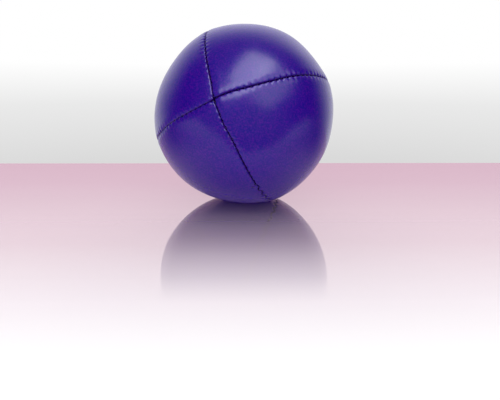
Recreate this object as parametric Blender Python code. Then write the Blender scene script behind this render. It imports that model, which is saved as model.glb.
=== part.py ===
"""Four-panel sewn ball, filled with millet.

Four leatherette panels, each a quarter of the sphere from pole to pole, meet along two great circles
that cross at a front pole and a back pole. Every panel's edges are folded inwards, so each seam is two
flat allowances that stand side by side inside the ball. A needle thread on one side of the allowances
passes through both of them, round a bobbin thread on the other side, and back. One stretch of the main
seam is left open for filling and is closed with a single hand-sewn thread.

The ball frame has its +Z axis through the front pole, +Y along the upper half of the main seam and +X
along the right side seam. The world frame has +Z up and its origin at the middle of the flat patch on
which the ball rests.
"""

import math

import bmesh
import bpy
from mathutils import Matrix, Vector

# Driving dimensions, in metres.
BALL_RADIUS = 0.0325
LEATHER = 0.0009
SEAM_GAP = 0.0003  # between the two allowances of a seam
FOLD_RADIUS = 0.0006  # outer radius of a folded edge
ALLOWANCE = 0.004  # depth of a turned-in allowance, from the ball's surface
STITCH_INSET = 0.001  # from the skin's inner face to the line of stitches
STITCH_PITCH = 0.002
THREAD = 0.0003
THREAD_CLEARANCE = 0.0001
THREAD_LEAD = 0.4
OPENING_START = math.radians(54)  # angle of the filling gap below the front pole
OPENING_LENGTH = 0.030  # measured along the ball's surface
CLOSING_PITCH = 0.0019
FLAT_DEPTH = 0.0008  # height of the cap that the resting patch cuts off
FILL_CLEARANCE = 0.0003

# How the ball lies: the front pole is turned to the left and tilted up, and the seams are rolled.
POLE_TURN = math.radians(15.3)
POLE_TILT = math.radians(13.4)
SEAM_ROLL = math.radians(22.6)

# Facets of the round shapes. Every quarter turn starts on an edge, so the seams lie on edges.
QUARTER_FACETS = 8
FOLD_FACETS = 2
WALL_LENGTHS = 21
WELD_DISTANCE = 0.00001

# Sizes that follow from the ones above.
FLANGE_FACE = SEAM_GAP / 2 + LEATHER  # seam plane to an allowance's inner face
STITCH_RADIUS = BALL_RADIUS - LEATHER - STITCH_INSET
THREAD_FACE = FLANGE_FACE + THREAD_CLEARANCE + THREAD / 2  # seam plane to a thread's middle
LOOP_FACE = THREAD_FACE + THREAD + THREAD_CLEARANCE  # seam plane to the needle thread's loop
LEG_OFFSET = THREAD + THREAD_CLEARANCE  # bobbin thread to each leg of the loop
HOLE_MARGIN = THREAD / 2 + THREAD_CLEARANCE
CORRIDOR = LOOP_FACE + THREAD / 2 + FILL_CLEARANCE  # half the room that a seam takes up
CENTRE_HEIGHT = BALL_RADIUS - FLAT_DEPTH

LEATHER_COLOUR = (0.040, 0.010, 0.240, 1.0)
THREAD_COLOUR = (0.030, 0.012, 0.120, 1.0)
MILLET_COLOUR = (0.620, 0.430, 0.160, 1.0)


def clear_scene():
    for old in list(bpy.data.objects):
        bpy.data.objects.remove(old, do_unlink=True)


def material(name, colour, roughness):
    made = bpy.data.materials.new(name)
    made.use_nodes = True
    shader = made.node_tree.nodes["Principled BSDF"]
    shader.inputs["Base Color"].default_value = colour
    shader.inputs["Roughness"].default_value = roughness
    shader.inputs["Metallic"].default_value = 0.0
    made.diffuse_color = colour
    return made


def place(name, data, parent):
    made = bpy.data.objects.new(name, data)
    bpy.context.scene.collection.objects.link(made)
    made.parent = parent
    return made


def mesh_object(name, shape, parent):
    mesh = bpy.data.meshes.new(name)
    bmesh.ops.recalc_face_normals(shape, faces=shape.faces)
    shape.to_mesh(mesh)
    shape.free()
    return place(name, mesh, parent)


def as_cutter(made):
    made.hide_render = True
    made.display_type = "WIRE"
    return made


def finish(made, colour, roughness):
    made.data.materials.append(material(made.name, colour, roughness))
    if made.type == "MESH":
        made.data.shade_smooth()
        made.data.set_sharp_from_angle(angle=math.radians(30))
    return made


def boolean(made, operation, other):
    cut = made.modifiers.new(other.name, "BOOLEAN")
    cut.operation = operation
    cut.solver = "EXACT"
    cut.object = other


def clean(made):
    """Closes up the tiny edges that a Boolean leaves, and splits its faces into well-shaped triangles."""
    joined = made.modifiers.new("weld", "WELD")
    joined.merge_threshold = WELD_DISTANCE
    split = made.modifiers.new("triangles", "TRIANGULATE")
    split.quad_method = "BEAUTY"
    split.ngon_method = "BEAUTY"


def ball(name, radius, parent):
    shape = bmesh.new()
    bmesh.ops.create_uvsphere(
        shape, u_segments=4 * QUARTER_FACETS, v_segments=2 * QUARTER_FACETS, radius=radius
    )
    return mesh_object(name, shape, parent)


def prism(name, outline, reach, parent):
    """A plane outline in X and Y, drawn out both ways along Z in short lengths."""
    shape = bmesh.new()
    heights = [reach * (2 * level / WALL_LENGTHS - 1) for level in range(WALL_LENGTHS + 1)]
    rings = [[shape.verts.new((x, y, height)) for x, y in outline] for height in heights]
    for below, above in zip(rings, rings[1:]):
        for i in range(len(outline)):
            j = (i + 1) % len(outline)
            shape.faces.new((below[i], below[j], above[j], above[i]))
    shape.faces.new(rings[0])
    shape.faces.new(rings[-1])
    return mesh_object(name, shape, parent)


def slab(name, low, high, parent):
    """A wide level box between two heights."""
    shape = bmesh.new()
    bmesh.ops.create_cube(shape, size=1.0)
    bmesh.ops.scale(shape, vec=(4 * BALL_RADIUS, 4 * BALL_RADIUS, high - low), verts=shape.verts)
    bmesh.ops.translate(shape, vec=(0.0, 0.0, (low + high) / 2), verts=shape.verts)
    return mesh_object(name, shape, parent)


def turned_ring(name, profile, axis, parent):
    """A closed profile of (distance from the axis, place along it), turned once round the axis."""
    shape = bmesh.new()
    turn = Matrix.Rotation(math.pi / 2, 4, "Y") if axis == "X" else Matrix.Rotation(-math.pi / 2, 4, "X")
    ring = [shape.verts.new((distance, 0.0, along)) for distance, along in profile]
    edges = [shape.edges.new((ring[i], ring[(i + 1) % len(ring)])) for i in range(len(ring))]
    bmesh.ops.spin(
        shape,
        geom=ring + edges,
        cent=(0.0, 0.0, 0.0),
        axis=(0.0, 0.0, 1.0),
        angle=2 * math.pi,
        steps=4 * QUARTER_FACETS,
        use_merge=True,
    )
    bmesh.ops.remove_doubles(shape, verts=shape.verts, dist=1e-6)
    bmesh.ops.transform(shape, matrix=turn, verts=shape.verts)
    return mesh_object(name, shape, parent)


def fold_profile():
    """The room outside two folded edges that meet: a round-shouldered notch in the surface."""
    outer = BALL_RADIUS + FOLD_RADIUS
    half = [(BALL_RADIUS - FOLD_RADIUS, SEAM_GAP / 3)]
    for step in range(1, FOLD_FACETS):
        turned = step / FOLD_FACETS * math.pi / 2
        across = SEAM_GAP / 2 + FOLD_RADIUS * (1 - math.cos(turned))
        half.append((BALL_RADIUS - FOLD_RADIUS * (1 - math.sin(turned)), across))
    half.append((outer, SEAM_GAP / 2 + 1.6 * FOLD_RADIUS))
    return half + [(distance, -across) for distance, across in reversed(half)]


def seam_point(seam, angle, distance, offset):
    """A place at an angle from the front pole, a distance from the centre, off the seam's plane."""
    along = distance * math.cos(angle)
    out = distance * math.sin(angle)
    if seam == "main":
        return Vector((offset, out, along))
    return Vector((out if seam == "right" else -out, offset, along))


def sewn_angles(seam):
    """The places of a seam's needle holes, with both poles halfway between two of them."""
    in_half = max(1, round(math.pi * STITCH_RADIUS / STITCH_PITCH))
    step = math.pi / in_half
    places = [(number + 0.5) * step for number in range(-in_half, in_half)]
    if seam == "main":
        start = -OPENING_START
        end = 2 * math.pi - OPENING_START - OPENING_LENGTH / BALL_RADIUS
        clear = THREAD_LEAD * step + 2 * THREAD / STITCH_RADIUS
        places = [(number + 0.5) * step for number in range(-in_half, 2 * in_half)]
        return [angle for angle in places if start + clear < angle < end - clear], step
    room = CORRIDOR + STITCH_PITCH / 2
    return [angle for angle in places if angle > 0 and STITCH_RADIUS * math.sin(angle) > room], step


def closing_angles():
    """The places where the closing thread crosses the filling gap."""
    span = OPENING_LENGTH / BALL_RADIUS
    count = max(2, int(OPENING_LENGTH / CLOSING_PITCH))
    step = span / count
    return [-OPENING_START - (number + 0.5) * step for number in range(count)], step


def needle_holes(name, seam, angles, half_height, parent):
    """One small box for each hole, through both allowances of a seam."""
    shape = bmesh.new()
    for angle in angles:
        middle = seam_point(seam, angle, STITCH_RADIUS, 0.0)
        outward = middle.normalized()
        across = Vector((1.0, 0.0, 0.0)) if seam == "main" else Vector((0.0, 1.0, 0.0))
        along = outward.cross(across)
        frame = Matrix((across, along, outward)).transposed().to_4x4()
        frame.translation = middle
        size = Matrix.Diagonal((2 * (FLANGE_FACE + THREAD_CLEARANCE), 2 * HOLE_MARGIN, 2 * half_height, 1.0))
        bmesh.ops.create_cube(shape, size=1.0, matrix=frame @ size)
    return as_cutter(mesh_object(name, shape, parent))


def thread(name, points, parent):
    curve = bpy.data.curves.new(name, "CURVE")
    curve.dimensions = "3D"
    curve.bevel_depth = THREAD / 2
    curve.bevel_resolution = 0
    curve.use_fill_caps = True
    spline = curve.splines.new("POLY")
    spline.points.add(len(points) - 1)
    for point, place_at in zip(spline.points, points):
        point.co = (*place_at, 1.0)
    return finish(place(name, curve, parent), THREAD_COLOUR, 0.55)


def needle_thread(name, seam, angles, step, parent):
    """Bars on one face of the allowances, dipping at each hole to loop round the bobbin thread."""
    lead = THREAD_LEAD * step
    points = [seam_point(seam, angles[0] - lead, STITCH_RADIUS, THREAD_FACE)]
    for angle in angles:
        points.append(seam_point(seam, angle, STITCH_RADIUS + LEG_OFFSET, THREAD_FACE))
        points.append(seam_point(seam, angle, STITCH_RADIUS + LEG_OFFSET, -LOOP_FACE))
        points.append(seam_point(seam, angle, STITCH_RADIUS - LEG_OFFSET, -LOOP_FACE))
        points.append(seam_point(seam, angle, STITCH_RADIUS - LEG_OFFSET, THREAD_FACE))
    points.append(seam_point(seam, angles[-1] + lead, STITCH_RADIUS, THREAD_FACE))
    return thread(name, points, parent)


def bobbin_thread(name, seam, angles, step, parent):
    """A smooth run on the other face of the allowances, inside the needle thread's loops."""
    lead = THREAD_LEAD * step
    ends = [angles[0] - lead, *angles, angles[-1] + lead]
    return thread(name, [seam_point(seam, angle, STITCH_RADIUS, -THREAD_FACE) for angle in ends], parent)


def ladder_thread(name, angles, step, parent):
    """One thread that crosses the filling gap from side to side, rung by rung."""
    side = THREAD_FACE
    points = [seam_point("main", angles[0] + 0.3 * step, STITCH_RADIUS, side)]
    for angle in angles:
        points.append(seam_point("main", angle, STITCH_RADIUS, side))
        side = -side
        points.append(seam_point("main", angle, STITCH_RADIUS, side))
    points.append(seam_point("main", angles[-1] - 0.3 * step, STITCH_RADIUS, side))
    return thread(name, points, parent)


def panel(name, right, up, rests, shared, parent):
    """One quarter of the skin with its two turned-in allowances."""
    near = SEAM_GAP / 2
    far = 2 * BALL_RADIUS
    quarter = [(near, near), (far, near), (far, far), (near, far)]
    # The side allowances are trimmed beside the main seam, where its threads pass.
    inside = [(FLANGE_FACE, -near), (CORRIDOR, -near), (CORRIDOR, FLANGE_FACE)]
    inside += [(far, FLANGE_FACE), (far, far), (FLANGE_FACE, far)]
    outline = [(right * x, up * y) for x, y in quarter]
    lining = [(right * x, up * y) for x, y in inside]
    bounds = as_cutter(prism(name + "_bounds", outline, far, parent))
    room = as_cutter(prism(name + "_room", lining, far, parent))
    hollow = as_cutter(ball(name + "_hollow", BALL_RADIUS - LEATHER, parent))
    boolean(hollow, "INTERSECT", room)
    if rests:
        boolean(hollow, "DIFFERENCE", as_cutter(slab("under_lining", -BALL_RADIUS, LEATHER, None)))
    made = ball(name, BALL_RADIUS, parent)
    if rests:
        boolean(made, "DIFFERENCE", as_cutter(slab("under_ball", -BALL_RADIUS, 0.0, None)))
    boolean(made, "INTERSECT", bounds)
    boolean(made, "DIFFERENCE", hollow)
    for cutter in shared:
        boolean(made, "DIFFERENCE", cutter)
    clean(made)
    return finish(made, LEATHER_COLOUR, 0.38)


def filling(name, parent):
    """The millet, with room round every allowance and its threads."""
    made = ball(name, BALL_RADIUS - LEATHER - FILL_CLEARANCE, parent)
    floor = as_cutter(slab("under_filling", -BALL_RADIUS, LEATHER + FILL_CLEARANCE, None))
    boolean(made, "DIFFERENCE", floor)
    for axis, inner in (("X", BALL_RADIUS / 2), ("Y", BALL_RADIUS / 3)):
        profile = [(inner, -CORRIDOR), (BALL_RADIUS, -CORRIDOR), (BALL_RADIUS, CORRIDOR), (inner, CORRIDOR)]
        slot = as_cutter(turned_ring("filling_slot_" + axis, profile, axis, parent))
        boolean(made, "DIFFERENCE", slot)
    boolean(made, "UNION", as_cutter(ball("filling_core", BALL_RADIUS - ALLOWANCE - FILL_CLEARANCE, parent)))
    clean(made)
    return finish(made, MILLET_COLOUR, 0.8)


def ball_frame():
    """The empty that carries the ball frame, from the way the ball lies."""
    turn = Matrix.Rotation(-POLE_TURN, 4, "Z")
    tilt = Matrix.Rotation(math.pi / 2 - POLE_TILT, 4, "X")
    roll = Matrix.Rotation(SEAM_ROLL, 4, "Z")
    frame = place("ball_frame", None, None)
    frame.matrix_world = Matrix.Translation((0.0, 0.0, CENTRE_HEIGHT)) @ turn @ tilt @ roll
    return frame


def build():
    clear_scene()
    frame = ball_frame()
    main, main_step = sewn_angles("main")
    right, side_step = sewn_angles("right")
    closing, closing_step = closing_angles()
    loop_room = LEG_OFFSET + HOLE_MARGIN
    shared = [
        as_cutter(ball("inside_allowances", BALL_RADIUS - ALLOWANCE, frame)),
        as_cutter(turned_ring("main_fold", fold_profile(), "X", frame)),
        as_cutter(turned_ring("side_fold", fold_profile(), "Y", frame)),
        needle_holes("main_holes", "main", main, loop_room, frame),
        needle_holes("closing_holes", "main", closing, HOLE_MARGIN, frame),
    ]
    sides = {
        1: [needle_holes("right_holes", "right", right, loop_room, frame)],
        -1: [needle_holes("left_holes", "left", right, loop_room, frame)],
    }
    panel("upper_left_panel", -1, 1, False, shared + sides[-1], frame)
    panel("upper_right_panel", 1, 1, False, shared + sides[1], frame)
    panel("lower_left_panel", -1, -1, True, shared + sides[-1], frame)
    panel("lower_right_panel", 1, -1, False, shared + sides[1], frame)
    for seam in ("left", "right"):
        needle_thread(seam + "_seam_needle_thread", seam, right, side_step, frame)
        bobbin_thread(seam + "_seam_bobbin_thread", seam, right, side_step, frame)
    needle_thread("main_seam_needle_thread", "main", main, main_step, frame)
    bobbin_thread("main_seam_bobbin_thread", "main", main, main_step, frame)
    ladder_thread("closing_thread", closing, closing_step, frame)
    filling("millet_filling", frame)


build()
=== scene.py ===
"""A sewn four-panel juggling ball, in the order it is made: skin, seams, filling, closing."""

import math

import bpy
import numpy as np
from mathutils import Matrix, Vector


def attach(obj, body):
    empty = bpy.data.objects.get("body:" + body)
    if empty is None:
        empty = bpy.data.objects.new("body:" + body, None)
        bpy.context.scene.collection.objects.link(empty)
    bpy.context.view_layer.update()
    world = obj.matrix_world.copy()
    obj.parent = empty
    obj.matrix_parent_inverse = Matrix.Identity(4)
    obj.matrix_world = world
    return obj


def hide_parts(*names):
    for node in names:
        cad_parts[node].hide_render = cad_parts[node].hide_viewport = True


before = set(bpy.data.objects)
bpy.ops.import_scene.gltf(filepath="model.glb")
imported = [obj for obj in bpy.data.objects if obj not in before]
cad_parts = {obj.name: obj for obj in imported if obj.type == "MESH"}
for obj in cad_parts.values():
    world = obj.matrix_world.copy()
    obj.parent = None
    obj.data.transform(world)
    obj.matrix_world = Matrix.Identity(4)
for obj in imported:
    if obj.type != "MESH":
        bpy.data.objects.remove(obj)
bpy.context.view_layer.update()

# ---------------------------------------------------------------------------------------------------
# How the ball lies, and the view of it. It rests on a small flat patch of its lower left panel, with
# the front crossing of its seams turned a little to the left and tilted up. Lengths are in millimetres
# until a mesh is made, and BALL_LEFT and BALL_ABOVE are tangents from the view's own axis.
BALL_RADIUS = 32.5
CENTRE_HEIGHT = 31.7
POLE_TURN = math.radians(15.3)
POLE_TILT = math.radians(13.4)
SEAM_ROLL = math.radians(22.6)
VIEW_ELEVATION = math.radians(5)
VIEW_DISTANCE = 0.14625
VIEW_LENS = 28.22
VIEW_SENSOR = 36.0
VIEW_SHIFT = 0.11
BALL_LEFT = 0.0131378
BALL_ABOVE = 0.0762755

lie = (
    Matrix.Rotation(-POLE_TURN, 3, "Z")
    @ Matrix.Rotation(math.pi / 2 - POLE_TILT, 3, "X")
    @ Matrix.Rotation(SEAM_ROLL, 3, "Z")
)
LIE = np.array(lie)

centre = Vector((0.0, 0.0, CENTRE_HEIGHT / 1000))
back = Vector((0.0, -math.cos(VIEW_ELEVATION), math.sin(VIEW_ELEVATION)))
bpy.ops.object.camera_add(location=centre + back * VIEW_DISTANCE)
camera = bpy.context.object
camera.name = "view_camera"
camera.data.lens = VIEW_LENS
camera.data.sensor_width = VIEW_SENSOR
camera.data.shift_y = -VIEW_SHIFT
aim = Vector((-BALL_LEFT, BALL_ABOVE, -1.0)).normalized()
level = (-back).to_track_quat("-Z", "Y")
camera.rotation_mode = "QUATERNION"
camera.rotation_quaternion = level @ aim.rotation_difference(Vector((0.0, 0.0, -1.0)))
camera.data.clip_start = 0.01
camera.data.clip_end = 10.0
bpy.context.scene.camera = camera
bpy.context.scene.view_settings.view_transform = "Standard"


def in_row(points):
    """Points of the ball's own frame, in millimetres, where they lie in the row's frame."""
    return points @ LIE.T + np.array((0.0, 0.0, CENTRE_HEIGHT))


def made_mesh(name, points, faces):
    """A new object from points in millimetres and lists of faces."""
    mesh = bpy.data.meshes.new(name)
    mesh.from_pydata((points / 1000.0).tolist(), [], faces)
    mesh.validate()
    made = bpy.data.objects.new(name, mesh)
    bpy.context.scene.collection.objects.link(made)
    mesh.shade_smooth()
    return made


# ---------------------------------------------------------------------------------------------------
# The tight skin's form. Leather stretched over packed grain stands proud along its seams, where four
# thicknesses meet, and pulls flatter between them. A coarse skin pinned along its seams is drawn tight
# as cloth, and a smooth surface through the result gives every piece of the skin its height.
PANEL_DROP = 0.5
SEAM_RISE = 0.42
TIGHT_STIFFNESS = 30
TIGHT_SHRINK = 0.04
TIGHT_FRAMES = 20
SURFACE_ORDER = 8

bpy.ops.object.select_all(action="DESELECT")
bpy.ops.mesh.primitive_uv_sphere_add(segments=48, ring_count=24, radius=1.0)
tight = bpy.context.object
sewn = tight.vertex_groups.new(name="sewn")
on_seam = [v.index for v in tight.data.vertices if min(abs(v.co.x), abs(v.co.y)) < 0.01]
sewn.add(on_seam, 1.0, "REPLACE")
rest_points = np.array([v.co for v in tight.data.vertices])
drawn = tight.modifiers.new("drawn_tight", "CLOTH")
drawn.settings.quality = 8
drawn.settings.mass = 0.2
drawn.settings.tension_stiffness = TIGHT_STIFFNESS
drawn.settings.compression_stiffness = TIGHT_STIFFNESS
drawn.settings.shear_stiffness = TIGHT_STIFFNESS / 2
drawn.settings.bending_stiffness = 0.3
drawn.settings.vertex_group_mass = "sewn"
drawn.settings.use_pressure = True
drawn.settings.uniform_pressure_force = 1.0
drawn.settings.shrink_min = TIGHT_SHRINK
drawn.settings.effector_weights.gravity = 0.0
drawn.point_cache.frame_start = 1
drawn.point_cache.frame_end = TIGHT_FRAMES
for step in range(1, TIGHT_FRAMES + 1):
    bpy.context.scene.frame_set(step)
bpy.ops.object.modifier_apply(modifier=drawn.name)
tight_points = np.array([v.co for v in tight.data.vertices])
bpy.data.objects.remove(tight, do_unlink=True)
bpy.context.scene.frame_set(1)


def surface_terms(direction):
    """The smooth shapes, up to SURFACE_ORDER, that a closed round surface is a sum of."""
    x, y, z = direction.T
    most = SURFACE_ORDER + 1
    powers = [(i, j, k) for k in (0, 1) for i in range(most - k) for j in range(most - k - i)]
    return np.stack([x**i * y**j * z**k for i, j, k in powers], axis=1)


drop = 1.0 - np.linalg.norm(tight_points, axis=1)
drop_fit = np.linalg.lstsq(surface_terms(rest_points), drop, rcond=None)[0]
middles = np.array([(a, b, 0.0) for a in (-1, 1) for b in (-1, 1)]) / math.sqrt(2)
drop_scale = PANEL_DROP / (surface_terms(middles) @ drop_fit).mean()

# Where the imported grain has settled: the angle round the ball from the front, and how far the skin
# stands out there. Over the rest of the skin the grain shows as faint lumps.
SETTLED_WIDTH = 0.33
LUMP_COUNT = 40
LUMP_CLOSENESS = 5.5
LUMP_HEIGHT = 0.018
settled = [(0, 0.1), (27, -0.35), (66, 0.35), (97, 0.3), (135, -0.12)]
settled += [(149, -0.42), (198, 0.45), (225, 0.8), (255, -0.2), (339, -0.3)]
view_up = Vector((0.0, math.sin(VIEW_ELEVATION), math.cos(VIEW_ELEVATION)))
across_ball = np.array(lie.transposed() @ Vector((1.0, 0.0, 0.0)))
up_ball = np.array(lie.transposed() @ view_up)
lump_draw = np.random.default_rng(7)
lump_waves = lump_draw.normal(size=(LUMP_COUNT, 3)) * LUMP_CLOSENESS
lump_turns = lump_draw.uniform(0, 2 * math.pi, LUMP_COUNT)


def skin_height(direction):
    """The skin's distance from the ball's middle in each direction."""
    height = BALL_RADIUS + SEAM_RISE - drop_scale * (surface_terms(direction) @ drop_fit)
    for angle, lift in settled:
        turn = math.radians(angle)
        at = math.cos(turn) * across_ball + math.sin(turn) * up_ball
        away = np.arccos(np.clip(direction @ at, -1, 1))
        height += lift * np.exp(-((away / SETTLED_WIDTH) ** 2))
    height += LUMP_HEIGHT * np.cos(direction @ lump_waves.T + lump_turns).sum(axis=1)
    return height


# ---------------------------------------------------------------------------------------------------
# The four panels. Each is leatherette cut as a pointed oval, with its edges folded in: the fold rolls
# over and the allowance stands inwards along the seam. Every stitch draws the two folds down and
# together, so the leather swells in small beads between the stitches.
LEATHER = 0.42
FOLD_RADIUS = 0.48
HALF_ROUND = math.pi * BALL_RADIUS
STITCH_STEP = HALF_ROUND / 51
STITCH_DRAWS = 256
OPENING_START = math.radians(54) * BALL_RADIUS
OPENING_LENGTH = 30.0
RUNG_PITCH = 1.9
stitch_draw = np.random.default_rng(11)
stitch_pull = {seam: stitch_draw.uniform(0.65, 1.35, STITCH_DRAWS) for seam in ("main", "side")}
stitch_slip = {seam: stitch_draw.normal(0.0, 0.13, STITCH_DRAWS) for seam in ("main", "side")}


def bell(s, at, width):
    """One at a place along a seam, falling to nought either side."""
    return np.exp(-(((s - at) / width) ** 2))


def unseen(s):
    """Nought on the front half of a seam, and one round the back of it."""
    return np.clip((np.abs(s) - 52.0) / 12.0, 0.0, 1.0)


def in_opening(s):
    """One along the hand-sewn stretch of the main seam."""
    past = -s - OPENING_START
    return np.clip(past / 0.8, 0, 1) * np.clip((OPENING_LENGTH - past) / 0.8, 0, 1)


def seam_drift(seam, s):
    """How far a seam strays sideways from its true circle."""
    if seam == "main":
        drift = 0.24 * bell(s, 28, 22) - 0.62 * bell(s, -7, 5) - 0.6 * bell(s, 0, 4)
        drift -= 0.25 * bell(s, -42, 9)
    else:
        right = 0.36 * bell(s, 4.5, 5) + 0.32 * bell(s, 26, 8) - 0.12 * bell(s, 43, 6)
        left = -0.3 * bell(s, -7, 9) - 0.18 * bell(s, -28, 7)
        drift = np.where(s > 0, right, left)
    return drift + 0.28 * unseen(s) * np.sin(s / 7.3 + 0.8)


def ladder(s):
    """The sideways zigzag of the hand-sewn stretch."""
    past = -s - OPENING_START - 0.4
    return 0.34 * in_opening(s) * np.tanh(2.6 * np.sin(math.pi * past / RUNG_PITCH - 1.1))


def stitch_pulse(seam, s, width):
    """Up to one at each stitch, along a seam."""
    number = np.floor(s / STITCH_STEP).astype(int)
    away = s - (number + 0.5) * STITCH_STEP - 0.5 * stitch_slip[seam][number % STITCH_DRAWS]
    sewn_here = stitch_pull[seam][number % STITCH_DRAWS] * np.exp(-((away / width) ** 2))
    if seam == "side":
        return sewn_here
    past = -s - OPENING_START
    rung = np.floor(past / RUNG_PITCH)
    by_hand = np.exp(-(((past - (rung + 0.5) * RUNG_PITCH) / width) ** 2))
    return sewn_here * (1 - in_opening(s)) + by_hand * in_opening(s)


def seam_opening(seam, s):
    """Half the width of the crease between two folds."""
    if seam == "main":
        wide = 0.03 + 0.03 * bell(s, 12, 12) + 0.02 * bell(s, -22, 9)
    else:
        right = 0.08 - 0.03 * bell(s, 46, 12)
        left = -0.02 + 0.05 * bell(s, -42, 10) + 0.03 * bell(s, 0, 2.5)
        wide = np.where(s > 0, right, left)
    wide = wide * (1 - unseen(s)) + 0.06 * unseen(s)
    return wide + 0.10 * stitch_pulse(seam, s, 0.38)


# The mesh is closest along the seams, where the folds are. Near each tip it is a square grid, and
# SQUARE_END from the tip its rows run straight across the panel.
FOLD_COLUMNS = 9
fold_turns = np.linspace(0.0, math.pi / 2, FOLD_COLUMNS)
near_columns = list(FOLD_RADIUS * (1 - np.cos(fold_turns)))
near_columns += [0.62, 0.8, 1.0, 1.25, 1.6, 2.05, 2.65, 3.4]
SEAM_COLUMNS = len(near_columns)
NEAR_EDGE = near_columns[-1]
CORNER = 9.0
wide_columns = list(NEAR_EDGE + (CORNER - NEAR_EDGE) * np.linspace(0, 1, 15)[1:])
columns = np.array(near_columns + wide_columns)
COLUMNS = len(columns) - 1
spread = np.clip((columns - NEAR_EDGE) / (CORNER - NEAR_EDGE), 0, 1)
ROW_SPACING = 0.27
SQUARE_END = 22.0
ALLOWANCE_ROWS = (0.25, 0.55, 0.95, 1.5, 2.2, 2.9)


def panel_grid():
    """The flat-folded layout of one panel on the true sphere: points, faces and the boundary loop."""
    points, faces = [], []

    def patch(sign):
        first = len(points)
        for i in range(COLUMNS + 1):
            for j in range(COLUMNS + 1):
                x, y = columns[i], columns[j]
                points.append((x, y, sign * math.sqrt(BALL_RADIUS**2 - x * x - y * y)))

        def index(i, j):
            return first + i * (COLUMNS + 1) + j

        for i in range(COLUMNS):
            for j in range(COLUMNS):
                quad = [index(i, j), index(i + 1, j), index(i + 1, j + 1), index(i, j + 1)]
                faces.append(quad if sign > 0 else quad[::-1])
        edge = [index(COLUMNS, j) for j in range(COLUMNS + 1)]
        edge += [index(i, COLUMNS) for i in range(COLUMNS - 1, -1, -1)]
        side = [index(i, 0) for i in range(COLUMNS + 1)]
        main = [index(0, j) for j in range(COLUMNS + 1)]
        return edge, side, main

    front, front_side, front_main = patch(1)
    arc = BALL_RADIUS * math.asin(CORNER / BALL_RADIUS)
    count = int((HALF_ROUND - 2 * arc) / ROW_SPACING)
    before = front
    side_loop, main_loop = list(front_side), list(front_main)
    for row in range(1, count):
        along = arc + (HALF_ROUND - 2 * arc) * row / count
        near_pole = min(along, HALF_ROUND - along)
        sign = 1 if along < HALF_ROUND / 2 else -1
        reach = BALL_RADIUS * math.sin(near_pole / BALL_RADIUS)
        t = min(max((near_pole - arc) / (SQUARE_END - arc), 0.0), 1.0)
        square = 1 - t * t * (3 - 2 * t)
        start = math.asin(NEAR_EDGE / reach)
        half = []
        for c in range(COLUMNS + 1):
            if c < SEAM_COLUMNS:
                level = columns[c]
                round_x, round_y = math.sqrt(reach**2 - level**2), level
                square_y = level
            else:
                angle = start + (math.pi / 4 - start) * spread[c]
                round_x, round_y = reach * math.cos(angle), reach * math.sin(angle)
                square_y = NEAR_EDGE + (reach - NEAR_EDGE) * spread[c]
            along_x = square * reach + (1 - square) * round_x
            half.append((along_x, square * square_y + (1 - square) * round_y))
        ring = half + [(y, x) for x, y in half[-2::-1]]
        first = len(points)
        for x, y in ring:
            points.append((x, y, sign * math.sqrt(max(BALL_RADIUS**2 - x * x - y * y, 0.0))))
        now = list(range(first, len(points)))
        for c in range(len(ring) - 1):
            faces.append([before[c], now[c], now[c + 1], before[c + 1]])
        side_loop.append(now[0])
        main_loop.append(now[-1])
        before = now
    rear, rear_side, rear_main = patch(-1)
    for c in range(len(rear) - 1):
        faces.append([before[c], rear[c], rear[c + 1], before[c + 1]])
    side_loop += rear_side[::-1]
    main_loop += rear_main[::-1]
    loop = main_loop[::-1] + side_loop[1:-1]
    return np.array(points), faces, loop


base_points, base_faces, boundary = panel_grid()


def smooth_corner(x, y):
    """Rounds a panel's tip, seen from above the crossing."""
    both = np.clip(1 - x / 1.8, 0, 1) ** 2 * np.clip(1 - y / 1.8, 0, 1) ** 2
    return 0.22 * both


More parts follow.
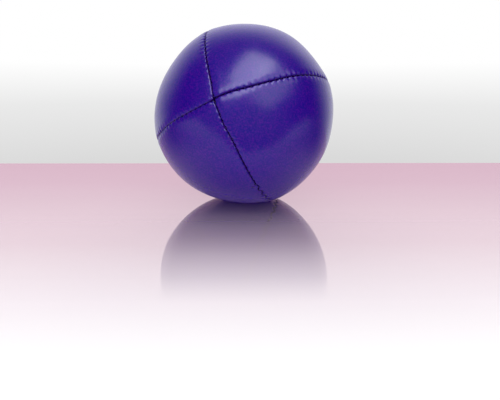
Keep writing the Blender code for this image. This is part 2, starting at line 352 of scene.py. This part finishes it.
def folded(points, depth, right, up):
    """Panel points moved from the true sphere to the sewn skin, in the ball's frame."""
    x, y, z = points.T
    main_s = np.arctan2(up * y, z) * BALL_RADIUS
    side_s = np.arctan2(right * x, z) * BALL_RADIUS
    turn_x = np.arccos(np.clip(1 - x / FOLD_RADIUS, 0, 1))
    turn_y = np.arccos(np.clip(1 - y / FOLD_RADIUS, 0, 1))
    # The left half of the side seam is drawn tight, so its folds fall away less.
    closed = 0.45 * (right < 0) * bell(np.abs(side_s), 14, 16)
    fall_y = FOLD_RADIUS * (1 - np.sin(turn_y)) * (1 - closed)
    fall = np.hypot(FOLD_RADIUS * (1 - np.sin(turn_x)), fall_y)
    main_pull = stitch_pulse("main", main_s, 0.5)
    side_pull = stitch_pulse("side", side_s, 0.5)
    fall += 0.3 * main_pull * np.exp(-x / 0.6) + 0.3 * side_pull * np.exp(-y / 0.6)
    fall += 0.02 * stitch_pulse("main", main_s, 0.6) * np.exp(-x / 1.8)
    fall += 0.02 * stitch_pulse("side", side_s, 0.6) * np.exp(-y / 1.8)
    rise = 0.10 * np.exp(-(((x - 1.6) / 1.6) ** 2)) + 0.10 * np.exp(-(((y - 1.6) / 1.6) ** 2))
    corner = smooth_corner(x, y)
    new_x = right * (x + corner + seam_opening("main", main_s) * np.exp(-x / 1.5))
    new_y = up * (y + corner + seam_opening("side", side_s) * np.exp(-y / 1.5))
    new_x += seam_drift("main", main_s) * np.exp(-((x / CORNER) ** 2))
    new_x += ladder(main_s) * np.exp(-((x / 1.5) ** 2))
    new_y += seam_drift("side", side_s) * np.exp(-((y / CORNER) ** 2))
    flat = np.stack([new_x, new_y, z], axis=1)
    length = np.linalg.norm(flat, axis=1, keepdims=True)
    direction = flat / length
    height = skin_height(direction) + rise - fall - depth
    moved = direction * height[:, None]
    # The allowances of a seam stay side by side all the way in.
    inside = (depth > 0)[:, None]
    keep = np.stack([new_x, new_y, moved[:, 2]], axis=1)
    near_main = (x < 0.001)[:, None] & inside
    near_side = (y < 0.001)[:, None] & inside
    moved[:, :1] = np.where(near_main, keep[:, :1], moved[:, :1])
    moved[:, 1:2] = np.where(near_side, keep[:, 1:2], moved[:, 1:2])
    return moved


PATCH_RIM = 1.5


def rest_on_floor(points):
    """The flat patch: nothing reaches below the floor, and its rim is soft."""
    height = points[:, 2]
    pressed = 0.5 * (height + np.sqrt(height**2 + 0.02))
    near = np.clip(PATCH_RIM - height, 0, 1)
    points[:, 2] = np.where(height < PATCH_RIM, pressed * near + height * (1 - near), height)
    return points


VIOLETS = [
    (0.36, (0.005, 0.0005, 0.19, 1)),
    (0.5, (0.02, 0.0005, 0.212, 1)),
    (0.64, (0.05, 0.0005, 0.225, 1)),
]
# Painted shade: the leather's colour is multiplied down to half at the seams, over the folds and in the
# creases, and on the allowances inside.
PAINTED_CREASE_SHADE = [(0.0, (0.5, 0.5, 0.5, 1)), (0.02, (0.8, 0.8, 0.8, 1)), (0.045, (1, 1, 1, 1))]


def fill_ramp(ramp, places):
    """Gives a colour ramp its stops, each a position and a colour."""
    ramp.elements[0].position, ramp.elements[0].color = places[0]
    ramp.elements[1].position, ramp.elements[1].color = places[-1]
    for at, colour in places[1:-1]:
        ramp.elements.new(at).color = colour


def leatherette(name):
    """Grained, semi-gloss leatherette, darkened by painted shade down in its creases and over its folds."""
    made = bpy.data.materials.new(name)
    made.use_nodes = True
    nodes, links = made.node_tree.nodes, made.node_tree.links
    shader = nodes["Principled BSDF"]
    place = nodes.new("ShaderNodeTexCoord")
    seam = nodes.new("ShaderNodeAttribute")
    seam.attribute_name = "seam_distance"

    def noise(scale, detail, rough=0.5):
        made_noise = nodes.new("ShaderNodeTexNoise")
        made_noise.inputs["Scale"].default_value = scale
        made_noise.inputs["Detail"].default_value = detail
        made_noise.inputs["Roughness"].default_value = rough
        links.new(place.outputs["Object"], made_noise.inputs["Vector"])
        return made_noise

    def ramp(source, places):
        made_ramp = nodes.new("ShaderNodeValToRGB")
        fill_ramp(made_ramp.color_ramp, places)
        links.new(source, made_ramp.inputs["Fac"])
        return made_ramp

    tint = ramp(noise(2000, 3, 0.6).outputs["Fac"], VIOLETS)
    # Painted shade near the seams, read from the seam_distance attribute.
    crease = ramp(seam.outputs["Fac"], PAINTED_CREASE_SHADE)
    painted_shade_mix = nodes.new("ShaderNodeMix")
    painted_shade_mix.data_type = "RGBA"
    painted_shade_mix.blend_type = "MULTIPLY"
    painted_shade_mix.inputs["Factor"].default_value = 1.0
    links.new(tint.outputs["Color"], painted_shade_mix.inputs["A"])
    links.new(crease.outputs["Color"], painted_shade_mix.inputs["B"])
    links.new(painted_shade_mix.outputs["Result"], shader.inputs["Base Color"])
    sheen_spread = nodes.new("ShaderNodeMapRange")
    sheen_spread.inputs["To Min"].default_value = 0.21
    sheen_spread.inputs["To Max"].default_value = 0.29
    links.new(noise(260, 4).outputs["Fac"], sheen_spread.inputs["Value"])
    links.new(sheen_spread.outputs["Result"], shader.inputs["Roughness"])
    shader.inputs["Specular IOR Level"].default_value = 0.5
    grain = nodes.new("ShaderNodeTexVoronoi")
    grain.feature = "DISTANCE_TO_EDGE"
    grain.inputs["Scale"].default_value = 2300
    links.new(place.outputs["Object"], grain.inputs["Vector"])
    fine = nodes.new("ShaderNodeBump")
    fine.inputs["Strength"].default_value = 0.1
    fine.inputs["Distance"].default_value = 0.00005
    links.new(grain.outputs["Distance"], fine.inputs["Height"])
    broad = nodes.new("ShaderNodeBump")
    broad.inputs["Strength"].default_value = 0.15
    broad.inputs["Distance"].default_value = 0.00012
    links.new(noise(700, 3).outputs["Fac"], broad.inputs["Height"])
    links.new(fine.outputs["Normal"], broad.inputs["Normal"])
    links.new(broad.outputs["Normal"], shader.inputs["Normal"])
    return made


leather = leatherette("violet_leatherette")
quarters = (
    ("upper_left_panel", -1, 1),
    ("upper_right_panel", 1, 1),
    ("lower_left_panel", -1, -1),
    ("lower_right_panel", 1, -1),
)
skins = []
for node, right, up in quarters:
    outer = folded(base_points, np.zeros(len(base_points)), right, up)
    rim = base_points[boundary]
    from_tip = np.minimum(np.hypot(rim[:, 0], rim[:, 1]), 4.0)
    deep_rim = np.clip((from_tip - 0.3) / 3.0, 0.6, 1.0)
    layers, faces = [outer], [list(face) for face in base_faces]
    ring = list(boundary)
    start = len(outer)
    for depth in ALLOWANCE_ROWS:
        layers.append(folded(rim, depth * deep_rim, right, up))
        inner = list(range(start, start + len(rim)))
        for a in range(len(ring)):
            b = (a + 1) % len(ring)
            faces.append([ring[b], ring[a], inner[a], inner[b]])
        ring = inner
        start += len(rim)
    if right * up < 0:
        faces = [face[::-1] for face in faces]
    skin = made_mesh(node + "_skin", rest_on_floor(in_row(np.vstack(layers))), faces)
    # seam_distance sets the painted shade in the creases: nought at the crease and on the allowances, one
    # from 10 mm in.
    to_seam = np.minimum(base_points[:, 0], base_points[:, 1])
    distance = np.concatenate([to_seam, np.zeros(len(rim) * len(ALLOWANCE_ROWS))])
    mark = skin.data.attributes.new("seam_distance", "FLOAT", "POINT")
    mark.data.foreach_set("value", np.clip(distance / 10.0, 0, 1).astype(np.float32))
    bpy.ops.object.select_all(action="DESELECT")
    skin.select_set(True)
    bpy.context.view_layer.objects.active = skin
    wall = skin.modifiers.new("wall", "SOLIDIFY")
    wall.thickness = LEATHER / 1000
    wall.offset = -1.0
    bpy.ops.object.modifier_apply(modifier=wall.name)
    skin.data.materials.append(leather)
    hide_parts(node)
    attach(skin, "root")
    skins.append(skin)

# ---------------------------------------------------------------------------------------------------
# The sewing threads. Each seam is locked by a needle thread on one side of its allowances, which dips
# through every hole, and a bobbin thread on the other side that it loops round. They are two-ply
# polyester, dyed dark violet, and show only as short bars down in the crease.
THREAD = 0.30


def seam_place(seam, s, depth, offset):
    """Points of the ball's frame on a seam: how far along it, how deep and how far to one side."""
    given = (np.atleast_1d(np.asarray(value, float)) for value in (s, depth, offset))
    s, depth, offset = np.broadcast_arrays(*given)
    turn = s / BALL_RADIUS
    out, along, nought = np.sin(turn), np.cos(turn), np.zeros(len(s))
    direction = np.stack([nought, out, along] if seam == "main" else [out, nought, along], axis=1)
    points = direction * (skin_height(direction) - depth)[:, None]
    points[:, 0 if seam == "main" else 1] += offset + seam_drift(seam, s)
    return points


def rounded_path(points, spacing):
    """A path through points with its corners eased, as evenly spaced places."""
    points = np.asarray(points)
    for _ in range(2):
        behind, ahead = points[:-1], points[1:]
        cut = np.stack([0.75 * behind + 0.25 * ahead, 0.25 * behind + 0.75 * ahead], axis=1)
        points = np.vstack([points[:1], cut.reshape(-1, 3), points[-1:]])
    gone = np.concatenate([[0], np.cumsum(np.linalg.norm(np.diff(points, axis=0), axis=1))])
    places = np.linspace(0, gone[-1], max(3, int(gone[-1] / spacing)))
    return np.stack([np.interp(places, gone, points[:, axis]) for axis in range(3)], axis=1)


def twisted(paths, thickness, turns=0.9, sides=8):
    """Two-ply thread along each path: a two-lobed section that turns as it goes. Points and faces."""
    all_points, faces = [], []
    first = 0
    for path in paths:
        ahead = np.gradient(path, axis=0)
        ahead /= np.linalg.norm(ahead, axis=1, keepdims=True)
        outward = path / np.linalg.norm(path, axis=1, keepdims=True)
        side = np.cross(ahead, outward)
        weak = np.linalg.norm(side, axis=1) < 0.2
        side[weak] = np.cross(ahead[weak], np.cross(outward[weak], (0.3, 0.5, 0.8)))
        side /= np.linalg.norm(side, axis=1, keepdims=True)
        for i in range(1, len(side)):
            kept = side[i - 1] - ahead[i] * (side[i - 1] @ ahead[i])
            side[i] = kept / np.linalg.norm(kept)
        up = np.cross(side, ahead)
        gone = np.concatenate([[0], np.cumsum(np.linalg.norm(np.diff(path, axis=0), axis=1))])
        around = np.arange(sides) * 2 * math.pi / sides
        turned = around[None, :] - gone[:, None] * turns * 2 * math.pi
        lobed = thickness * (0.40 + 0.10 * np.cos(2 * turned))
        across = side[:, None, :] * np.cos(around)[None, :, None]
        ring = path[:, None, :] + lobed[..., None] * (across + up[:, None, :] * np.sin(around)[None, :, None])
        count = len(path)
        all_points.append(ring.reshape(-1, 3))
        for i in range(count - 1):
            for k in range(sides):
                m = (k + 1) % sides
                a = first + i * sides
                faces.append([a + k, a + m, a + sides + m, a + sides + k])
        faces.append([first + k for k in range(sides - 1, -1, -1)])
        faces.append([first + (count - 1) * sides + k for k in range(sides)])
        first += count * sides
    return np.vstack(all_points), faces


def dyed_thread(name, colour):
    made = bpy.data.materials.new(name)
    made.use_nodes = True
    shader = made.node_tree.nodes["Principled BSDF"]
    shader.inputs["Base Color"].default_value = colour
    shader.inputs["Roughness"].default_value = 0.55
    shader.inputs["Sheen Weight"].default_value = 0.15
    return made


THREAD_DYE = (0.022, 0.006, 0.11, 1)
sewing_thread = dyed_thread("sewing_thread", THREAD_DYE)


def finish_thread(made, node, material):
    """Dyes a thread and puts it in its node's place."""
    made.data.materials.append(material)
    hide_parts(node)
    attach(made, "root")


seam_runs = {
    "left": ("side", [-(n + 0.5) * STITCH_STEP for n in range(1, 50)]),
    "right": ("side", [(n + 0.5) * STITCH_STEP for n in range(1, 50)]),
    "main": ("main", [(n + 0.5) * STITCH_STEP for n in range(-int(OPENING_START / STITCH_STEP), 102)]),
}
# A thread lies this far out from the crease, against the leather's inner face.
FACE = LEATHER + THREAD / 2 + 0.12
THREAD_DEPTH = 1.1
THREAD_END = 0.7
THREAD_SPACING = 0.13
# One stitch of the needle thread: how far from its hole, how deep, and how far out from the crease.
needle_stitch = [(-0.42, 1.0, FACE), (-0.16, 0.78, FACE), (-0.13, 0.62, 0.0), (-0.16, 0.85, -FACE)]
needle_stitch += [(0, 1.25, -FACE - 0.05), (0.16, 1.25, -FACE + 0.1), (0.13, 1.0, 0.0), (0.16, 1.0, FACE)]
last_stitch = 2 * HALF_ROUND - OPENING_START - OPENING_LENGTH
for run, (seam, stitches) in seam_runs.items():
    stitches = sorted(s for s in stitches if seam == "side" or -OPENING_START < s < last_stitch)
    needle = [(stitches[0] - THREAD_END, THREAD_DEPTH, FACE)]
    for s in stitches:
        needle += [(s + away, depth, offset) for away, depth, offset in needle_stitch]
    needle.append((stitches[-1] + THREAD_END, THREAD_DEPTH, FACE))
    path = rounded_path(seam_place(seam, *np.array(needle).T), THREAD_SPACING)
    points, faces = twisted([path], THREAD)
    made = made_mesh(run + "_needle_thread", in_row(points), faces)
    finish_thread(made, run + "_seam_needle_thread", sewing_thread)
    s = np.linspace(stitches[0] - THREAD_END, stitches[-1] + THREAD_END, 400)
    path = rounded_path(seam_place(seam, s, THREAD_DEPTH, -FACE - 0.22), THREAD_SPACING)
    points, faces = twisted([path], THREAD)
    made = made_mesh(run + "_bobbin_thread", in_row(points), faces)
    finish_thread(made, run + "_seam_bobbin_thread", sewing_thread)

# ---------------------------------------------------------------------------------------------------
# The filling: millet, a hard round grain about 1.8 mm across, packed tight under the skin. The grains
# that touch the skin are made one by one over a packed core, and keep clear of the allowances.
GRAIN = 0.9
OUTER_LAYER = 29.8
INNER_LAYER = 28.0
CORE = 27.6
SEAM_CLEAR = 2.5
POLE_CLEAR = 4.0
GRAIN_SHAPE = (1.0, 0.95, 0.9)
grain_draw = np.random.default_rng(3)
phi = (1 + math.sqrt(5)) / 2
ico = np.array(
    [(-1, phi, 0), (1, phi, 0), (-1, -phi, 0), (1, -phi, 0), (0, -1, phi), (0, 1, phi)]
    + [(0, -1, -phi), (0, 1, -phi), (phi, 0, -1), (phi, 0, 1), (-phi, 0, -1), (-phi, 0, 1)]
) / math.hypot(1, phi)
ico_faces = np.array(
    [(0, 11, 5), (0, 5, 1), (0, 1, 7), (0, 7, 10), (0, 10, 11), (1, 5, 9), (5, 11, 4)]
    + [(11, 10, 2), (10, 7, 6), (7, 1, 8), (3, 9, 4), (3, 4, 2), (3, 2, 6), (3, 6, 8)]
    + [(3, 8, 9), (4, 9, 5), (2, 4, 11), (6, 2, 10), (8, 6, 7), (9, 8, 1)]
)


def grain_layer(radius, clear):
    """Places spread evenly over a sphere, away from the seams when asked."""
    count = int(4 * math.pi * radius**2 / (GRAIN * 1.95) ** 2)
    k = np.arange(count) + 0.5
    z = 1 - 2 * k / count
    turn = k * math.pi * (1 + math.sqrt(5))
    flat = np.sqrt(1 - z * z)
    places = radius * np.stack([flat * np.cos(turn), flat * np.sin(turn), z], axis=1)
    if clear:
        places = places[np.minimum(np.abs(places[:, 0]), np.abs(places[:, 1])) > SEAM_CLEAR]
    return places[np.hypot(places[:, 0], places[:, 1]) > POLE_CLEAR]


grains = np.vstack([grain_layer(OUTER_LAYER, True), grain_layer(INNER_LAYER, False)])
grains = in_row(grains + grain_draw.normal(0, 0.08, grains.shape))
grains = grains[grains[:, 2] > LEATHER + GRAIN + 0.35]
scales = GRAIN * grain_draw.uniform(0.88, 1.0, (len(grains), 1, 1))
turned = np.linalg.qr(grain_draw.normal(size=(len(grains), 3, 3)))[0]
turned *= np.sign(np.linalg.det(turned))[:, None, None]
grain_points = np.einsum("gij,vj->gvi", turned, ico * GRAIN_SHAPE) * scales + grains[:, None, :]
grain_points = grain_points.reshape(-1, 3)
grain_faces = (ico_faces[None] + 12 * np.arange(len(grains))[:, None, None]).reshape(-1, 3)
bpy.ops.object.select_all(action="DESELECT")
bpy.ops.mesh.primitive_ico_sphere_add(subdivisions=5, radius=CORE / 1000)
core = bpy.context.object
core_points = np.array([v.co for v in core.data.vertices]) * 1000
core_faces = [[len(grain_points) + v for v in p.vertices] for p in core.data.polygons]
bpy.data.objects.remove(core, do_unlink=True)
core_points = core_points + np.array((0.0, 0.0, CENTRE_HEIGHT))
all_points = np.vstack([grain_points, core_points])
made = made_mesh("millet_grains", all_points, grain_faces.tolist() + core_faces)
straw = bpy.data.materials.new("millet_grain")
straw.use_nodes = True
nodes, links = straw.node_tree.nodes, straw.node_tree.links
shader = nodes["Principled BSDF"]
place = nodes.new("ShaderNodeTexCoord")
mottle = nodes.new("ShaderNodeTexNoise")
mottle.inputs["Scale"].default_value = 450
shade = nodes.new("ShaderNodeValToRGB")
fill_ramp(shade.color_ramp, [(0.0, (0.50, 0.33, 0.12, 1)), (1.0, (0.80, 0.62, 0.28, 1))])
links.new(place.outputs["Object"], mottle.inputs["Vector"])
links.new(mottle.outputs["Fac"], shade.inputs["Fac"])
links.new(shade.outputs["Color"], shader.inputs["Base Color"])
shader.inputs["Roughness"].default_value = 0.45
made.data.materials.append(straw)
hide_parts("millet_filling")
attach(made, "root")

# ---------------------------------------------------------------------------------------------------
# The closing thread. The last stretch of the main seam is sewn by hand once the grain is in: one thread
# runs in each fold by turns and crosses the crease in rungs, and its cut end lies on the leather.
CLOSING_SPACING = 0.12
ladder_path, hand = [], 0.62
for n in range(int(OPENING_LENGTH / RUNG_PITCH)):
    s = OPENING_START + (n + 0.5) * RUNG_PITCH
    ladder_path += [(-s + 0.55, 0.95, hand), (-s + 0.1, 0.6, 0.8 * hand)]
    ladder_path += [(-s, 0.42, 0.0), (-s - 0.1, 0.6, -0.8 * hand)]
    hand = -hand
s, depth, offset = np.array(ladder_path).T
rungs = rounded_path(seam_place("main", s, depth, offset + ladder(s)), CLOSING_SPACING)
cut_end = np.array([(1.9, 0.8, -0.1), (1.7, 0.25, -0.45), (1.2, -0.12, -1.0), (0.8, -0.14, -1.75)])
tail = seam_place("main", -OPENING_START - cut_end[:, 0], cut_end[:, 1], cut_end[:, 2])
points, faces = twisted([rungs, rounded_path(tail, CLOSING_SPACING)], THREAD)
made = made_mesh("hand_closing_thread", in_row(points), faces)
finish_thread(made, "closing_thread", dyed_thread("closing_thread", THREAD_DYE))

# ---------------------------------------------------------------------------------------------------
# The floor: a glossy pale top, pink at the back and fading to white in front, with a faint mirror image
# of the ball. The middle of its front edge is a sheet of its own, kept out of the leather's gloss, so
# that the belt of leather under the crossing stays dark.
FLOOR_BACK = 63.4
FLOOR_FRONT = -106
FLOOR_SIDE = 500
FLOOR_DROP = 0.05
FADE_BACK = 0.058
FADE_FRONT = -0.102
PINKS = [
    (0.03, (0.66, 0.456, 0.549, 1)),
    (0.22, (0.675, 0.48, 0.569, 1)),
    (0.63, (0.765, 0.624, 0.685, 1)),
    (0.815, (0.87, 0.80, 0.84, 1)),
    (0.95, (0.97, 0.97, 0.97, 1)),
]
MIRROR_SHARES = [(0.28, 0.87), (0.36, 0.91), (0.46, 0.87), (0.556, 0.70)]
MIRROR_SHARES += [(0.669, 0.50), (0.75, 0.32), (0.815, 0.0)]
top = bpy.data.materials.new("pale_top")
top.use_nodes = True
nodes, links = top.node_tree.nodes, top.node_tree.links
place = nodes.new("ShaderNodeTexCoord")
split = nodes.new("ShaderNodeSeparateXYZ")
links.new(place.outputs["Object"], split.inputs["Vector"])
nearer = nodes.new("ShaderNodeMapRange")
nearer.inputs["From Min"].default_value = FADE_BACK
nearer.inputs["From Max"].default_value = FADE_FRONT
links.new(split.outputs["Y"], nearer.inputs["Value"])
tint = nodes.new("ShaderNodeValToRGB")
fill_ramp(tint.color_ramp, PINKS)
fade = nodes.new("ShaderNodeValToRGB")
fill_ramp(fade.color_ramp, [(at, (share, share, share, 1)) for at, share in MIRROR_SHARES])
links.new(nearer.outputs["Result"], tint.inputs["Fac"])
links.new(nearer.outputs["Result"], fade.inputs["Fac"])
nodes.remove(nodes["Principled BSDF"])
dull = nodes.new("ShaderNodeBsdfDiffuse")
links.new(tint.outputs["Color"], dull.inputs["Color"])
mirror = nodes.new("ShaderNodeBsdfGlossy")
mirror.inputs["Roughness"].default_value = 0.02
links.new(tint.outputs["Color"], mirror.inputs["Color"])
blend = nodes.new("ShaderNodeMixShader")
glancing = nodes.new("ShaderNodeLayerWeight")
steep = nodes.new("ShaderNodeMapRange")
steep.inputs["From Min"].default_value = 0.35
steep.inputs["From Max"].default_value = 0.62
links.new(glancing.outputs["Facing"], steep.inputs["Value"])
share = nodes.new("ShaderNodeMath")
share.operation = "MULTIPLY"
links.new(steep.outputs["Result"], share.inputs[0])
links.new(fade.outputs["Color"], share.inputs[1])
links.new(share.outputs["Value"], blend.inputs["Fac"])
links.new(dull.outputs["BSDF"], blend.inputs[1])
links.new(mirror.outputs["BSDF"], blend.inputs[2])
links.new(blend.outputs["Shader"], nodes["Material Output"].inputs["Surface"])
notch = [(-130, FLOOR_FRONT), (-80, -90), (-40, -72), (0, -66), (40, -70), (80, -84), (130, FLOOR_FRONT)]
wide = [(-FLOOR_SIDE, FLOOR_FRONT)] + notch + [(FLOOR_SIDE, FLOOR_FRONT)]
wide += [(FLOOR_SIDE, FLOOR_BACK), (-FLOOR_SIDE, FLOOR_BACK)]
for name, outline in (("pale_top", wide), ("pale_top_front", notch[::-1])):
    corners = np.array([(x, y, -FLOOR_DROP) for x, y in outline])
    floor = made_mesh(name, corners, [list(range(len(outline)))])
    floor.data.materials.append(top)
floor.visible_glossy = False

# ---------------------------------------------------------------------------------------------------
# The surround: a pale wall that is greyer low down, and a round tent about the stage, white behind the
# ball and dark in front of it. The tent lights the ball and shows in its gloss, but isn't seen itself.
HOOD_RADIUS = 1.6
HOOD_DARK = 0.01
HOOD_START = 0.2 * HOOD_RADIUS
HOOD_END = 0.66 * HOOD_RADIUS
WALL_GREYS = [
    (0.5 - 0.19 / 2, (0.70, 0.70, 0.70, 1)),
    (0.5 - 0.054 / 2, (0.82, 0.82, 0.82, 1)),
    (0.5 + 0.04 / 2, (1, 1, 1, 1)),
]
world = bpy.data.worlds.new("surround")
bpy.context.scene.world = world
world.use_nodes = True
nodes, links = world.node_tree.nodes, world.node_tree.links
place = nodes.new("ShaderNodeTexCoord")
split = nodes.new("ShaderNodeSeparateXYZ")
links.new(place.outputs["Generated"], split.inputs["Vector"])
rising = nodes.new("ShaderNodeValToRGB")
fill_ramp(rising.color_ramp, WALL_GREYS)
half = nodes.new("ShaderNodeMapRange")
half.inputs["From Min"].default_value = -1.0
links.new(split.outputs["Z"], half.inputs["Value"])
links.new(half.outputs["Result"], rising.inputs["Fac"])
links.new(rising.outputs["Color"], nodes["Background"].inputs["Color"])

hood_cloth = bpy.data.materials.new("hood_cloth")
hood_cloth.use_nodes = True
nodes, links = hood_cloth.node_tree.nodes, hood_cloth.node_tree.links
nodes.remove(nodes["Principled BSDF"])
place = nodes.new("ShaderNodeTexCoord")
split = nodes.new("ShaderNodeSeparateXYZ")
links.new(place.outputs["Object"], split.inputs["Vector"])
paler = nodes.new("ShaderNodeMapRange")
paler.inputs["From Min"].default_value = HOOD_START
paler.inputs["From Max"].default_value = HOOD_END
paler.inputs["To Min"].default_value = HOOD_DARK
links.new(split.outputs["Y"], paler.inputs["Value"])
glow = nodes.new("ShaderNodeEmission")
links.new(paler.outputs["Result"], glow.inputs["Strength"])
links.new(glow.outputs["Emission"], nodes["Material Output"].inputs["Surface"])
bpy.ops.object.select_all(action="DESELECT")
bpy.ops.mesh.primitive_uv_sphere_add(radius=HOOD_RADIUS, segments=48, ring_count=24)
hood = bpy.context.object
hood.rotation_euler.x = math.pi / 2
bpy.ops.object.transform_apply()
hood.name = "studio_hood"
hood.data.materials.append(hood_cloth)
hood.visible_camera = False
hood.visible_shadow = False

# ---------------------------------------------------------------------------------------------------
# The lamps: two soft boxes above that only the leather shines back, a broad fill from the front, one
# from overhead, and a low one that stands for the light a pale top throws up under the ball.
view_axes = Matrix(((1, 0, 0), tuple(view_up), tuple(back))).transposed()


def soft_light(name, toward, upward, size, distance, energy):
    """A rectangular lamp that faces the ball, placed by directions seen from the viewer's side."""
    lamp = bpy.data.lights.new(name, "AREA")
    lamp.shape = "RECTANGLE"
    lamp.size, lamp.size_y = size
    lamp.energy = energy
    made = bpy.data.objects.new(name, lamp)
    bpy.context.scene.collection.objects.link(made)
    z = (view_axes @ Vector(toward)).normalized()
    y = view_axes @ Vector(upward)
    y = (y - z * y.dot(z)).normalized()
    x = y.cross(z)
    made.matrix_world = Matrix.Translation(centre + z * distance) @ Matrix((x, y, z)).transposed().to_4x4()
    made.visible_camera = False
    return made


# The soft boxes and the low lamp light only the skin, so none of them shows in the floor's gloss.
leather_only = bpy.data.collections.new("leather_only")
for skin in skins:
    leather_only.objects.link(skin)
key = soft_light("soft_box", (0.04, 0.72, 0.66), (0.461, 0.558, -0.69), (0.18, 0.45), 0.35, 1.1)
key.visible_diffuse = False
key.light_linking.receiver_collection = leather_only
second = soft_light("second_box", (0.42, 0.54, 0.66), (0.461, 0.558, -0.69), (0.28, 0.34), 0.35, 0.55)
second.visible_diffuse = False
second.light_linking.receiver_collection = leather_only
fill = soft_light("front_fill", (-0.08, 0.2, 0.98), (0, 1, 0), (1.8, 1.6), 0.7, 14.8)
fill.visible_glossy = False
roof = soft_light("roof_fill", (0.0, 0.97, -0.25), (0, 0, 1), (1.4, 1.4), 0.8, 6.3)
roof.visible_glossy = False
under = soft_light("under_fill", (0.0, -1.0, -0.1), (0, 0, 1), (0.5, 0.5), 0.4, 1.0)
under.visible_glossy = False
under.light_linking.receiver_collection = leather_only
under.light_linking.blocker_collection = leather_only
